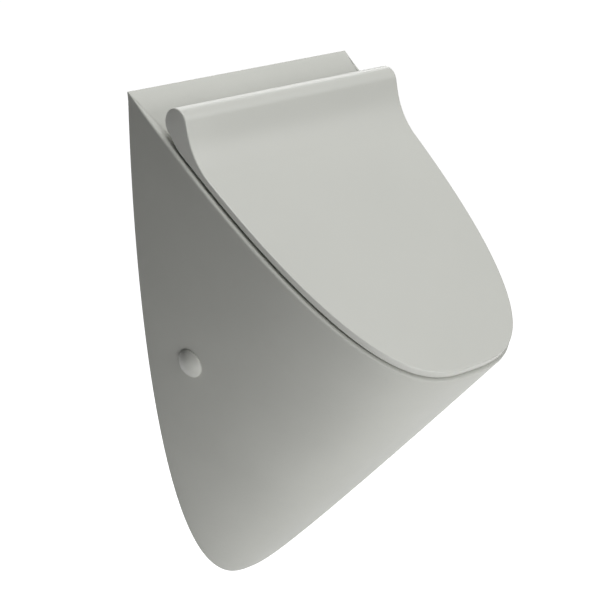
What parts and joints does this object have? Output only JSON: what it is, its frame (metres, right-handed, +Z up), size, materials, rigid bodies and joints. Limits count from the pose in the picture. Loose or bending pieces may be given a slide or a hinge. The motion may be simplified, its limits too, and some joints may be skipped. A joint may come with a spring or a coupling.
{
  "type": "wall hung urinal",
  "caption": "Glazed ceramic wall hung urinal with a tapering bowl and a sloping soft close lid hinged near the wall.",
  "frame": {"origin": "midway between the two wall bolt holes, on the wall's plane", "axes": "+Z up, the wall is the plane y = 0 and the bowl stands out along -Y, +X to the right seen from the room"},
  "size_m": [0.285, 0.3121, 0.5304],
  "materials": {
    "glazed_ceramic": "matt glazed vitreous ceramic, light warm grey",
    "lid_plastic": "satin moulded thermoset, light warm grey",
    "cap_plastic": "satin moulded plastic, light warm grey",
    "trap_plastic": "moulded polypropylene, off white",
    "bush_plastic": "moulded acetal, off white",
    "rubber": "moulded black rubber",
    "buffer_rubber": "moulded grey rubber",
    "stainless_steel": "turned stainless steel",
    "galvanised_steel": "pressed galvanised steel",
    "brass": "turned brass",
    "chromed_brass": "polished chromed brass",
    "chromed_zinc": "satin chromed zinc casting"
  },
  "bodies": {
    "body": {"ceramic_body": "glazed_ceramic", "side_cap_left": "cap_plastic", "side_cap_right": "cap_plastic", "flush_spreader": "chromed_brass", "spreader_gasket": "rubber", "spreader_nut": "brass", "inlet_pipe": "brass", "inlet_seal": "rubber", "drain_strainer": "chromed_brass", "strainer_screw": "stainless_steel", "outlet_gasket": "rubber", "trap_inlet": "trap_plastic", "trap_nut": "trap_plastic", "trap_cup": "trap_plastic", "outlet_adapter": "trap_plastic", "outlet_seal": "rubber", "wall_bracket_left": "galvanised_steel", "wall_bracket_right": "galvanised_steel", "clamp_screws": "stainless_steel", "clamp_bushes": "bush_plastic", "hinge_post_left": "chromed_zinc", "hinge_post_right": "chromed_zinc", "hinge_pins": "stainless_steel", "hinge_gaskets": "rubber", "hinge_studs": "stainless_steel", "hinge_grommets": "rubber", "hinge_washers": "stainless_steel", "hinge_nuts": "brass"},
    "lid": {"lid_panel": "lid_plastic", "damper_left": "bush_plastic", "damper_right": "bush_plastic", "damper_cover_left": "lid_plastic", "damper_cover_right": "lid_plastic", "cover_screws": "stainless_steel", "hinge_bushes": "bush_plastic", "lid_buffers": "buffer_rubber"}
  },
  "joints": [
    {"name": "lid_hinge", "type": "hinge", "parent": "body", "child": "lid", "pos_m": [0, -0.06358, 0.23673], "axis": [-1, 0, 0], "range_deg": [0, 133]}
  ]
}
